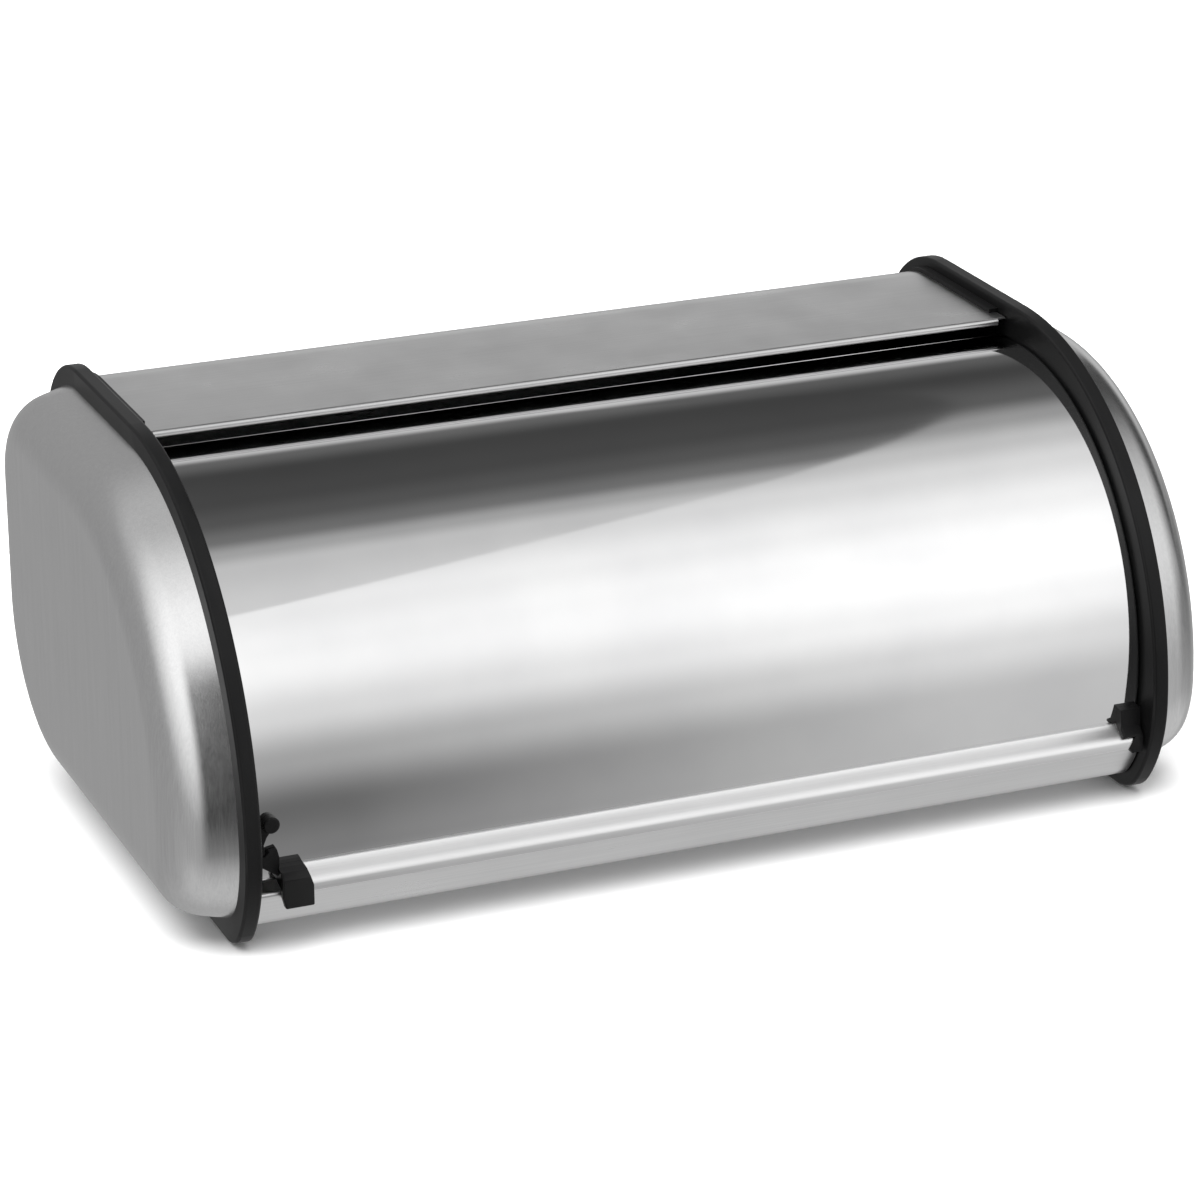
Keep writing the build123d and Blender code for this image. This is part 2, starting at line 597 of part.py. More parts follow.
with BuildPart() as left_lid_block:
    with BuildSketch(side_plane(BLOCK_LEFT_FROM)):
        add(block_body(BLOCK_LEFT_TOP, BLOCK_LEFT_BOTTOM, BLOCK_LEFT_THICK, BLOCK_LEFT_BROW_Y))
    extrude(amount=BLOCK_LEFT_TO - BLOCK_LEFT_FROM)
    # seen from the front it narrows a little towards the top and the bottom
    with BuildSketch(Plane.XZ.offset(-LID_Y)):
        with BuildLine():
            Polyline(
                (BLOCK_LEFT_FROM + 1.2, BLOCK_LEFT_BOTTOM), (BLOCK_LEFT_FROM, 23.5), (BLOCK_LEFT_FROM, 34.0),
                (BLOCK_LEFT_FROM + 1.0, BLOCK_LEFT_TOP + 1), (BLOCK_LEFT_TO - 2.8, BLOCK_LEFT_TOP + 1),
                (BLOCK_LEFT_TO, 27.0), (BLOCK_LEFT_TO, BLOCK_LEFT_BOTTOM), close=True,
            )
        make_face()
    extrude(amount=LID_Y - FRONT, mode=Mode.INTERSECT)
    fillet(front_edges(left_lid_block), BLOCK_EDGE_R)
    add(lip_rail.part, mode=Mode.SUBTRACT)
    # neck beside the block, then stem and knob above it
    with BuildSketch(lid_plane(NECK_SPOT[0], LID_R, lid_angle(NECK_SPOT[1], LID_R))):
        add(outline(NECK_SPOT, (-185.6, 40.2), (-183.4, 40.0), (-181.6, 42.0), (-178.6, 42.6), (-177.6, 39.0),
                    (-177.6, 30.6), (-185.6, 36.4)))
    extrude(amount=NECK_THICK)
    with BuildSketch(lid_plane(STEM_SPOT[0], LID_R, lid_angle(STEM_SPOT[1], LID_R))):
        add(outline(STEM_SPOT, (-185.6, 43.0), (-184.2, 43.0), (-182.4, 47.6), (-179.6, 51.6), (-184.0, 53.2),
                    (-185.6, 49.0)))
    extrude(amount=STEM_THICK)
    with BuildSketch(lid_plane(LINK_SPOT[0], LID_R, lid_angle(LINK_SPOT[1], LID_R))):
        Rectangle(LINK_WIDTH, LINK_HEIGHT)
    extrude(amount=STEM_THICK)
    with BuildSketch(lid_plane(KNOB_X, LID_R, lid_angle(KNOB_Z, LID_R))):
        Circle(KNOB_R)
    extrude(amount=KNOB_HEIGHT)
    knob_edges = left_lid_block.edges().filter_by(GeomType.CIRCLE).filter_by(
        lambda edge: abs(edge.radius - KNOB_R) < 0.01
    )
    fillet(knob_edges.sort_by(Axis.Y)[0], 0.8)
    with BuildSketch(lid_plane(block_screw_spots[0][0], LID_R - 1, block_screw_spots[0][1])):
        Circle(RIVET_R)
    extrude(amount=3.6, mode=Mode.SUBTRACT)
save(left_lid_block.part, "left_lid_block")

with BuildPart() as right_lid_block:
    with BuildSketch(side_plane(BLOCK_RIGHT_FROM)):
        add(block_body(BLOCK_RIGHT_TOP, BLOCK_RIGHT_BOTTOM, BLOCK_RIGHT_THICK, BLOCK_RIGHT_BROW_Y))
    extrude(amount=BLOCK_RIGHT_TO - BLOCK_RIGHT_FROM)
    fillet(front_edges(right_lid_block), BLOCK_EDGE_R)
    # lug that reaches down in front of the upstand
    with BuildSketch(Plane.XZ.offset(-BLOCK_BACK_Y)):
        with BuildLine():
            Polyline(
                (LUG_FROM + 2.8, LUG_TOP), (LUG_FROM, 24.6), (LUG_FROM + 1.2, LUG_BOTTOM),
                (BLOCK_RIGHT_TO, LUG_BOTTOM), (BLOCK_RIGHT_TO, LUG_TOP), close=True,
            )
        make_face()
    extrude(amount=BLOCK_BACK_Y - BLOCK_NOSE_Y)
    add(lip_rail.part, mode=Mode.SUBTRACT)
    with BuildSketch(lid_plane(block_screw_spots[1][0], LID_R - 1, block_screw_spots[1][1])):
        Circle(RIVET_R)
    extrude(amount=3.8, mode=Mode.SUBTRACT)
save(right_lid_block.part, "right_lid_block")

with BuildPart() as lid_block_screws:
    for x, angle in block_screw_spots:
        with BuildSketch(lid_plane(x, lid_inner_r - 1.0, angle)):
            Circle(RIVET_HEAD_R)
        extrude(amount=0.95)
        with BuildSketch(lid_plane(x, lid_inner_r - 0.5, angle)):
            Circle(RIVET_R - 0.05)
        extrude(amount=0.5 + LID_SHEET + 2.5)
save(lid_block_screws.part, "lid_block_screws")

# ---------------------------------------------------------------- lid arms
arm_x = LID_HALF - LID_SHEET
arm_inner_x = arm_x - ARM_THICK
with BuildPart() as lid_arm:
    with BuildSketch(side_plane(-arm_x)):
        add(lid_band(ARM_R - ARM_RIM, ARM_R, ARM_FROM, ARM_TO))
        for angle in SPOKES:
            with Locations(Location((LID_Y, LID_Z), 180 - angle)):
                Rectangle(ARM_R - ARM_RIM / 2, SPOKE_WIDTH, align=(Align.MIN, Align.CENTER))
        with Locations((LID_Y, LID_Z)):
            Circle(HUB_R)
    extrude(amount=ARM_THICK)
    with BuildSketch(side_plane(-arm_inner_x)):
        with Locations((LID_Y, LID_Z)):
            Circle(HUB_R)
    extrude(amount=-HUB_THICK)
    with BuildSketch(side_plane(-arm_inner_x)):
        with Locations((LID_Y, LID_Z)):
            Circle(PIN_R + PIN_PLAY)
        with Locations(*[lid_point(RIVET_RING_R, angle) for angle in RIVET_ANGLES]):
            Circle(RIVET_R)
    extrude(amount=-HUB_THICK, mode=Mode.SUBTRACT)
save_pair(lid_arm.part, "lid_arm")

with BuildPart() as arm_rivets:
    for start, length, radius in (
        (-LID_HALF, -RIVET_HEAD, RIVET_HEAD_R),
        (-LID_HALF, LID_SHEET + ARM_THICK, RIVET_R),
        (-arm_inner_x, RIVET_HEAD, RIVET_HEAD_R),
    ):
        with BuildSketch(side_plane(start)):
            with Locations(*[lid_point(RIVET_RING_R, angle) for angle in RIVET_ANGLES]):
                Circle(radius)
        extrude(amount=length)
save_pair(arm_rivets.part, "arm_rivets")
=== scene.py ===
import json
import math

import bpy
from mathutils import Matrix, Vector


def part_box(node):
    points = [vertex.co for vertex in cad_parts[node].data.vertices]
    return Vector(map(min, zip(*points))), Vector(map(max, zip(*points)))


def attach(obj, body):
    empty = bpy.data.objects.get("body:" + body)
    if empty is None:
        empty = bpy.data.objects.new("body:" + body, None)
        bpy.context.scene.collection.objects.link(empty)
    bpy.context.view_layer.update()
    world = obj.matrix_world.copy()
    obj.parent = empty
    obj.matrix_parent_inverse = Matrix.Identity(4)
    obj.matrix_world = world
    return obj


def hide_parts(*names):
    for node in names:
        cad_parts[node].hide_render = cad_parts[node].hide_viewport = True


# A roll-top bread box.  The sheet steel pieces are built here as fine skins; the moulded pieces and the
# fasteners keep their CAD shape.  Lengths are in metres and angles in degrees.  Side profiles are lists
# of (y, z) points.

MM = 0.001

# Camera at the viewing angle of the picture; lens and sensor in millimetres
AZIMUTH, ELEVATION, ROLL = -22.45, 21.0, -0.27
LENS, SENSOR = 135.0, 36.0
DISTANCE = 1.824
TARGET = Vector((-0.0018, -0.0039, 0.0757))

# Side profile: arcs joined tangentially
FRONT_R = 130.0 * MM
LOWER_R = 59.0 * MM
CORNER_R = 20.0 * MM            # front bottom corner of the tray
CAP_CORNER_R = 34.0 * MM        # front bottom corner of the end caps
BACK_LOW_R = 75.5 * MM
BACK_TOP_R = 47.6 * MM

# Sheets of the body
WRAP_INSET = 5.8 * MM           # from the frames' outline in to the sheets
SHEET = 0.8 * MM
SHEET_EDGE = 0.15 * MM          # rounding of the cut edges
HEM_R = 1.1 * MM
ROOF_HEM_R = 1.5 * MM
ROOF_HEM_LEG = 7.0 * MM
ROOF_HEM_SETBACK = 3.8 * MM     # from the sheet's ends to the hem's ends
REAR_FLOOR_REACH = 6.5 * MM     # from the seam's rivets forward to the rear floor's edge
LAP_LENGTH = 18.0 * MM
LAP_STEP = 2.0 * MM             # run in which the tray's floor rises onto the rear floor
LAP_SETBACK = 4.0 * MM

# End caps
CAP_INSET = 8.0 * MM
CAP_EDGE_R = 20.6 * MM
CAP_DRAFT = 15.0                # lean of the wall
CAP_WALL = 0.8 * MM
CAP_FACE_RING = 1.2 * MM        # from the rounded edge in to a last ring on the flat face
CAP_OUTER_STEPS, CAP_INNER_STEPS = 16, 10

# Lid
LID_SHEET = 0.7 * MM
LID_TOP = 102.0                 # angle of the upper edge about the lid's axis
LID_ROWS, LID_COLUMNS, BEND_STEPS = 116, 48, 5
LID_BEND_R = 1.2 * MM
INNER_BEND = 0.4                # height of the bend inside the sheet, as a share of that outside
BEND_SUPPORT = 0.4 * MM         # from a bend to the first column of points on the sheet
LID_FLANGE = 12.0 * MM
FLANGE_STOP, FLANGE_TAPER = 2.0, 4.0    # angle left free at the upper edge, and that of the taper before it
LID_WAVE = 0.03 * MM
LID_HEM_LEG = 3.5               # angle that the hem's leg runs back along the lid

# Lip rail on the lid's lower edge
LIP_SHEET = 0.9 * MM
LIP_EDGE = 0.25 * MM            # rounding of its edges
LIP_PROUD = 0.15                # share of its thickness that stands above the lid where it starts
LIP_LEAVE, LIP_ARRIVE = (0.55, 0.83), (0.24, 0.97)      # (y, z) slopes at the curve's two ends
LIP_NOSE, LIP_HANG = 2.9 * MM, 0.2 * MM                 # top and bottom of the turned-down edge
LIP_INTO_BLOCK = 6.3 * MM       # reach of the turned-down edge into the right block
LIP_FLANGE_GAP = 0.6            # angle from the lip's start down to its flange

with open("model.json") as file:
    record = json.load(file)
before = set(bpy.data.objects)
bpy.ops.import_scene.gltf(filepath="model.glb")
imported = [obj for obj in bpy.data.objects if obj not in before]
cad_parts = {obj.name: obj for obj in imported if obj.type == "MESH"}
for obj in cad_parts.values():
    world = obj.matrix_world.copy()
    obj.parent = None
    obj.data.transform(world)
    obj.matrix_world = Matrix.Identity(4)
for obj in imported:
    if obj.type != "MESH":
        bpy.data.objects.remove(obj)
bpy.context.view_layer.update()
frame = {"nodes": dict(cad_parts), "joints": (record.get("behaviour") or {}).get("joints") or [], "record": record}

rim_low, rim_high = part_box("left_side_frame")
FRONT, BACK, HEIGHT = rim_low.y, rim_high.y, rim_high.z
FRAME_X = -rim_low.x
FRONT_CENTRE = (FRONT + FRONT_R, HEIGHT - FRONT_R)
LOWER_CENTRE = (FRONT + LOWER_R, HEIGHT - FRONT_R)
BACK_LOW_CENTRE = (BACK - BACK_LOW_R, BACK_LOW_R)
BACK_TOP_CENTRE = (BACK - BACK_TOP_R, HEIGHT - BACK_TOP_R)

lid_low, lid_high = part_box("lid_sheet")
AXIS_Y, AXIS_Z = frame["joints"][0]["pos_m"][1:]
LID_R = lid_high.z - AXIS_Z


# ---------------------------------------------------------------- outlines
def arc(centre, radius, start, stop, step=2.0):
    """Points on a circle from one angle to another, counted from +Y towards +Z, at most step apart."""
    count = max(2, math.ceil(abs(stop - start) / step))
    angles = [math.radians(start + (stop - start) * i / count) for i in range(count + 1)]
    return [(centre[0] + radius * math.cos(t), centre[1] + radius * math.sin(t)) for t in angles]


def corner_of(radius):
    """Centre of the front bottom corner's arc, and how far the arc above it turns before meeting it."""
    drop = LOWER_CENTRE[1] - radius
    reach = LOWER_R - radius
    centre = (LOWER_CENTRE[0] - math.sqrt(reach ** 2 - drop ** 2), radius)
    return centre, math.degrees(math.asin(drop / reach))


def cap_outline(inset):
    """Closed side profile of an end cap, moved in by inset; it has the same number of points at any inset."""
    corner, turn = corner_of(CAP_CORNER_R)
    points = arc(FRONT_CENTRE, FRONT_R - inset, 90, 180)
    points += arc(LOWER_CENTRE, LOWER_R - inset, 180, 180 + turn)[1:]
    points += arc(corner, CAP_CORNER_R - inset, 180 + turn, 270)[1:]
    points += arc(BACK_LOW_CENTRE, BACK_LOW_R - inset, 270, 360)
    points += arc(BACK_TOP_CENTRE, BACK_TOP_R - inset, 0, 90)
    return points


def lid_point(radius, angle):
    """Point about the lid's axis; angle 0 is straight forward and 90 straight up."""
    turn = math.radians(angle)
    return (AXIS_Y - radius * math.cos(turn), AXIS_Z + radius * math.sin(turn))


def lid_angle(z, radius):
    """Angle at which the front of a circle about the lid's axis reaches a height."""
    return math.degrees(math.asin((z - AXIS_Z) / radius))


def bezier(start, start_aim, end_aim, end, count=16):
    """Points along a cubic curve."""
    points = []
    for i in range(count + 1):
        t = i / count
        weights = ((1 - t) ** 3, 3 * t * (1 - t) ** 2, 3 * t ** 2 * (1 - t), t ** 3)
        corners = (start, start_aim, end_aim, end)
        points.append(tuple(sum(w * c[k] for w, c in zip(weights, corners)) for k in (0, 1)))
    return points


def offset(path, distance):
    """The path moved sideways, to its right."""
    moved = []
    for i, (y, z) in enumerate(path):
        before = path[max(i - 1, 0)]
        after = path[min(i + 1, len(path) - 1)]
        along_y, along_z = after[0] - before[0], after[1] - before[1]
        size = math.hypot(along_y, along_z)
        moved.append((y + distance * along_z / size, z - distance * along_y / size))
    return moved


# ---------------------------------------------------------------- meshes
class Shell:
    """Vertices and faces of one piece."""

    def __init__(self):
        self.points = []
        self.faces = []

    def row(self, points):
        first = len(self.points)
        self.points.extend(points)
        return list(range(first, len(self.points)))

    def bridge(self, a, b, closed=False):
        """Quads between two rows of the same length."""
        count = len(a)
        for i in range(count if closed else count - 1):
            j = (i + 1) % count
            self.faces.append((a[i], a[j], b[j], b[i]))

    def strip(self, path, thickness, x_from, x_to):
        """Sheet that follows a side path and runs along the box."""
        loop = path + offset(path, thickness)[::-1]
        ends = [self.row([(x, y, z) for y, z in loop]) for x in (x_from, x_to)]
        self.bridge(*ends, closed=True)
        count = len(path)
        for end in ends:
            self.bridge(end[:count], end[count:][::-1])

    def piece(self, name, material, body, replaced):
        mesh = bpy.data.meshes.new(name)
        mesh.from_pydata(self.points, [], self.faces)
        mesh.validate()
        obj = bpy.data.objects.new(name, mesh)
        bpy.context.scene.collection.objects.link(obj)
        bpy.context.view_layer.objects.active = obj
        obj.select_set(True)
        bpy.ops.object.mode_set(mode="EDIT")
        bpy.ops.mesh.select_all(action="SELECT")
        bpy.ops.mesh.normals_make_consistent(inside=False)
        bpy.ops.object.mode_set(mode="OBJECT")
        obj.select_set(False)
        mesh.shade_smooth()
        mesh.set_sharp_from_angle(angle=math.radians(35))
        mesh.materials.append(material)
        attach(obj, body)
        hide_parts(replaced)
        return obj


def round_edges(obj, width):
    bevel = obj.modifiers.new("round_edges", "BEVEL")
    bevel.width = width
    bevel.segments = 2
    bevel.limit_method = "ANGLE"
    bevel.angle_limit = math.radians(40)
    bevel.harden_normals = True


# ---------------------------------------------------------------- materials
class Finish:
    """A node material round one Principled shader."""

    def __init__(self, name):
        self.material = bpy.data.materials.new(name)
        self.material.use_nodes = True
        self.tree = self.material.node_tree
        self.shader = self.tree.nodes["Principled BSDF"]
        self.place = self.node("ShaderNodeTexCoord").outputs["Object"]

    def node(self, kind, **settings):
        made = self.tree.nodes.new(kind)
        for key, value in settings.items():
            setattr(made, key, value)
        return made

    def link(self, start, end):
        self.tree.links.new(start, end)

    def fixed(self, **values):
        """Plain values of the shader; an underscore stands for a space in an input's name."""
        for key, value in values.items():
            self.shader.inputs[key.replace("_", " ")].default_value = value

    def scaled(self, x=1.0, y=1.0, z=1.0):
        """The object's own coordinates, scaled along each axis."""
        mapping = self.node("ShaderNodeMapping")
        mapping.inputs["Scale"].default_value = (x, y, z)
        self.link(self.place, mapping.inputs["Vector"])
        return mapping.outputs["Vector"]

    def noise(self, place, scale, detail=2.0, roughness=0.5):
        made = self.node("ShaderNodeTexNoise")
        made.inputs["Scale"].default_value = scale
        made.inputs["Detail"].default_value = detail
        made.inputs["Roughness"].default_value = roughness
        self.link(place, made.inputs["Vector"])
        return made.outputs["Fac"]

    def spread(self, value, taken, given):
        """The value with one (low, high) range stretched onto another."""
        made = self.node("ShaderNodeMapRange")
        for key, number in zip(("From Min", "From Max", "To Min", "To Max"), (*taken, *given)):
            made.inputs[key].default_value = number
        self.link(value, made.inputs["Value"])
        return made.outputs["Result"]

    def add(self, a, b, share):
        """a, plus a share of b."""
        made = self.node("ShaderNodeMath", operation="MULTIPLY_ADD")
        self.link(b, made.inputs[0])
        made.inputs[1].default_value = share
        self.link(a, made.inputs[2])
        return made.outputs[0]

    def colours(self, value, *stops):
        """Base colour by value, from (place, colour) stops."""
        ramp = self.node("ShaderNodeValToRGB")
        while len(ramp.color_ramp.elements) < len(stops):
            ramp.color_ramp.elements.new(0.5)
        for element, (place, colour) in zip(ramp.color_ramp.elements, stops):
            element.position = place
            element.color = (*colour, 1)
        self.link(value, ramp.inputs["Fac"])
        self.link(ramp.outputs["Color"], self.shader.inputs["Base Color"])

    def roughness(self, value, taken, given):
        self.link(self.spread(value, taken, given), self.shader.inputs["Roughness"])

    def bump(self, height, strength, distance, below=None):
        made = self.node("ShaderNodeBump")
        made.inputs["Strength"].default_value = strength
        made.inputs["Distance"].default_value = distance
        self.link(height, made.inputs["Height"])
        if below is not None:
            self.link(below, made.inputs["Normal"])
        return made.outputs["Normal"]

    def normal(self, value):
        self.link(value, self.shader.inputs["Normal"])


def grey(value):
    return (value, value, value)


def grain(finish, along, fine, stretch=90):
    """Noise drawn out into hairlines along one axis."""
    scales = [fine, fine, fine]
    scales[along] = fine / stretch
    return finish.noise(finish.scaled(*scales), 1.0, detail=3.0, roughness=0.6)


def polished_steel():
    """Bright rolled steel: a soft mirror with hairlines, slow waves and a few wiping marks."""
    f = Finish("polished_steel")
    f.fixed(Metallic=1.0)
    hairlines = grain(f, 0, 2600.0)
    clouds = f.noise(f.scaled(), 22.0, detail=3.0)
    f.colours(clouds, (0.3, (0.80, 0.80, 0.805)), (0.7, grey(0.86)))
    smear = f.add(clouds, hairlines, 0.6)
    f.roughness(smear, (0.5, 1.1), (0.025, 0.06))
    waves = f.bump(f.noise(f.scaled(x=0.6), 9.0, detail=1.0), 0.25, 0.6 * MM)
    f.normal(f.bump(hairlines, 0.05, 0.02 * MM, waves))
    return f.material


def satin_steel(name, along, roughness=(0.26, 0.36), tone=(0.60, 0.68), relief=0.06):
    """Brushed steel: dense hairlines along one axis, with longer scratches and a cloudy sheen."""
    f = Finish(name)
    f.fixed(Metallic=1.0)
    hairlines = grain(f, along, 1800.0)
    scratches = grain(f, along, 500.0)
    clouds = f.noise(f.scaled(), 30.0, detail=4.0, roughness=0.6)
    mixed = f.add(hairlines, scratches, 0.5)
    dark, light = tone
    f.colours(mixed, (0.45, (dark, dark, dark * 1.005)), (1.0, grey(light)))
    sheen = f.add(clouds, mixed, 0.5)
    f.roughness(sheen, (0.6, 1.1), roughness)
    dents = f.bump(f.noise(f.scaled(), 12.0, detail=1.0), 0.2, 0.5 * MM)
    f.normal(f.bump(mixed, relief, 0.05 * MM, dents))
    return f.material


def black_plastic():
    """Moulded black plastic: fine spark texture, flow marks and edges rubbed a little shinier."""
    f = Finish("black_plastic")
    f.fixed(Metallic=0.0, Specular_IOR_Level=0.16)
    spark = f.noise(f.scaled(), 1500.0, detail=2.0)
    flow = f.noise(f.scaled(y=0.3, z=0.3), 60.0, detail=3.0)
    edges = f.node("ShaderNodeNewGeometry").outputs["Pointiness"]
    worn = f.spread(edges, (0.52, 0.62), (0.0, 1.0))
    f.colours(f.add(flow, worn, 0.5), (0.3, (0.003, 0.003, 0.0032)), (1.0, grey(0.009)))
    f.roughness(f.add(flow, worn, -0.4), (0.1, 0.8), (0.3, 0.46))
    f.normal(f.bump(spark, 0.12, 0.06 * MM))
    return f.material


def rivet_steel():
    """Pressed fastener steel with tool marks."""
    f = Finish("rivet_steel")
    f.fixed(Metallic=1.0)
    marks = f.noise(f.scaled(), 900.0, detail=4.0, roughness=0.7)
    clouds = f.noise(f.scaled(), 120.0, detail=2.0)
    f.colours(f.add(clouds, marks, 0.4), (0.4, (0.42, 0.42, 0.41)), (1.0, (0.62, 0.62, 0.61)))
    f.roughness(clouds, (0.3, 0.7), (0.26, 0.42))
    f.normal(f.bump(marks, 0.2, 0.06 * MM))
    return f.material


def rubber():
    """Dull black rubber with a powdery bloom."""
    f = Finish("rubber")
    f.fixed(Metallic=0.0, Specular_IOR_Level=0.25)
    bloom = f.noise(f.scaled(), 260.0, detail=5.0, roughness=0.7)
    f.colours(bloom, (0.35, grey(0.014)), (0.7, (0.035, 0.035, 0.036)))
    f.roughness(bloom, (0.3, 0.7), (0.7, 0.9))
    f.normal(f.bump(bloom, 0.3, 0.1 * MM))
    return f.material


# ---------------------------------------------------------------- pieces
def roof_and_back(material):
    """One sheet: hem under the roof's front edge, roof, back and rear floor."""
    low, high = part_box("top_back_sheet")
    half, top = high.x, high.z
    hem_half = half - ROOF_HEM_SETBACK
    floor_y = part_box("seam_rivets")[0].y - REAR_FLOOR_REACH
    skin = [(low.y + ROOF_HEM_R, top)]
    skin += arc(BACK_TOP_CENTRE, BACK_TOP_R - WRAP_INSET, 90, 0, step=3)
    skin += arc(BACK_LOW_CENTRE, BACK_LOW_R - WRAP_INSET, 360, 270, step=3)
    skin += [(floor_y, WRAP_INSET)]
    roll_centre = (low.y + ROOF_HEM_R, top - ROOF_HEM_R)
    roll = [(low.y + ROOF_HEM_R + ROOF_HEM_LEG, top - 2 * ROOF_HEM_R)]
    roll += arc(roll_centre, ROOF_HEM_R, 270, 90, step=15)
    shell = Shell()
    shell.strip(skin, SHEET, -half, half)
    shell.strip(roll, SHEET, -hem_half, hem_half)
    obj = shell.piece("roof_and_back_skin", material, "body", "top_back_sheet")
    round_edges(obj, SHEET_EDGE)


def tray(material):
    """Front floor and upstand, with its top edge rolled inwards and a lap over the rear floor."""
    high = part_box("base_tray")[1]
    half, lap_to = high.x, high.y
    lap_half = half - LAP_SETBACK
    lap_from = lap_to - LAP_LENGTH
    corner, turn = corner_of(CORNER_R)
    roll_r = LOWER_R - WRAP_INSET - HEM_R
    roll_angle = math.degrees(math.asin((LOWER_CENTRE[1] - high.z + HEM_R) / roll_r))
    roll_start = 180 + roll_angle
    roll_centre = arc(LOWER_CENTRE, roll_r, roll_start, roll_start)[0]
    skin = [(lap_from - LAP_STEP, WRAP_INSET)]
    skin += arc(corner, CORNER_R - WRAP_INSET, 270, 180 + turn, step=3)
    skin += arc(LOWER_CENTRE, LOWER_R - WRAP_INSET, 180 + turn, roll_start)[1:]
    skin += arc(roll_centre, HEM_R, roll_start, roll_start - 270, step=20)[1:]
    lap = [
        (lap_to, WRAP_INSET + SHEET),
        (lap_from, WRAP_INSET + SHEET),
        (lap_from - LAP_STEP, WRAP_INSET),
    ]
    shell = Shell()
    shell.strip(skin, SHEET, -half, half)
    shell.strip(lap, SHEET, -lap_half, lap_half)
    obj = shell.piece("tray_skin", material, "body", "base_tray")
    round_edges(obj, SHEET_EDGE)


def end_cap(side, material):
    """Drawn steel cap: leaning wall, wide rounded edge and flat face."""
    low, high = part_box(f"{side}_end_cap")
    sign = -1 if side == "left" else 1
    depth = high.x - low.x
    lean = math.radians(CAP_DRAFT)
    shell = Shell()

    def ring(inset, height):
        x = sign * (FRAME_X + height)
        return shell.row([(x, y, z) for y, z in cap_outline(inset)])

    def section(inset, edge_r, top, steps):
        """Rings of points from the frame, out over the rounded edge, to the flat face."""
        wall = top - edge_r * (1 - math.sin(lean))
        centre = inset + wall * math.tan(lean) + edge_r * math.cos(lean)
        rows = [(inset, 0.0)]
        for i in range(steps + 1):
            t = lean + (math.pi / 2 - lean) * i / steps
            rows.append((centre - edge_r * math.cos(t), top - edge_r * (1 - math.sin(t))))
        rows.append((centre + CAP_FACE_RING, top))
        return [ring(*row) for row in rows]

    outer = section(CAP_INSET, CAP_EDGE_R, depth, CAP_OUTER_STEPS)
    inner = section(CAP_INSET + CAP_WALL, CAP_EDGE_R - CAP_WALL, depth - CAP_WALL, CAP_INNER_STEPS)
    for rows in (outer, inner):
        for a, b in zip(rows, rows[1:]):
            shell.bridge(a, b, closed=True)
        shell.faces.append(tuple(rows[-1]))
    shell.bridge(outer[0], inner[0], closed=True)
    shell.piece(f"{side}_cap_skin", material, "body", f"{side}_end_cap")


def lid_section(half, flat):
    """The lid's face across the box: (x, lift) points, where lift is None at the tip of each bent-in end."""
    end = [(-half, None)]
    for i in range(BEND_STEPS + 1):
        t = math.pi / 2 * i / BEND_STEPS
        end.append((-flat - LID_BEND_R * math.cos(t), -LID_BEND_R * (1 - math.sin(t))))
    end.append((-flat + BEND_SUPPORT, 0.0))
    middle = [(-flat + 2 * flat * k / LID_COLUMNS, 0.0) for k in range(1, LID_COLUMNS)]
    return end + middle + [(-x, lift) for x, lift in reversed(end)]


def lid(material):
    """Rolled sheet with bent-in ends and a hem at its upper edge; slow shallow waves as in real sheet."""
    half = lid_high.x
    flat = half - LID_BEND_R
    bottom = lid_angle(lid_low.z, LID_R)
    across = lid_section(half, flat)

    def flange(angle):
        """How deep the bent-in ends are at this angle; they taper off at both edges of the lid."""
        at_top = (LID_TOP - FLANGE_STOP - angle) / FLANGE_TAPER
        ease = min(1.0, max(0.0, at_top), max(0.0, angle - bottom))
        return 2 * LID_BEND_R + (LID_FLANGE - 2 * LID_BEND_R) * ease

    def wave(x, angle):
        a = math.radians(angle)
        return LID_WAVE * (math.sin(19 * x + 2.1 * a) + math.sin(31 * x - 3.4 * a + 1.2) - 2)

    def point(x, x_kept, lift, angle, face_r, bend):
        """Point of a face of the sheet; bend is the share of lift that the face follows."""
        radius = LID_R - flange(angle) if lift is None else face_r + lift * bend + wave(x, angle)
        return (x_kept, *lid_point(radius, angle))

    shell = Shell()
    rows = []
    for i in range(LID_ROWS + 1):
        angle = bottom + (LID_TOP - bottom) * i / LID_ROWS
        loop = [point(x, x, lift, angle, LID_R, 1.0) for x, lift in across]
        for x, lift in reversed(across):
            inside = max(-half + LID_SHEET, min(half - LID_SHEET, x))
            loop.append(point(x, inside, lift, angle, LID_R - LID_SHEET, INNER_BEND))
        rows.append(shell.row(loop))
    for a, b in zip(rows, rows[1:]):
        shell.bridge(a, b, closed=True)
    width = len(across)
    for end in (rows[0], rows[-1]):
        shell.bridge(end[:width], end[width:][::-1])
    hem_centre = lid_point(LID_R - HEM_R, LID_TOP)
    facing = 180 - LID_TOP
    roll = arc(hem_centre, HEM_R, facing, facing - 180, step=20)
    roll += [lid_point(LID_R - 2 * HEM_R, LID_TOP - LID_HEM_LEG)]
    shell.strip(roll, LID_SHEET, -flat, flat)
    shell.piece("lid_skin", material, "lid", "lid_sheet")


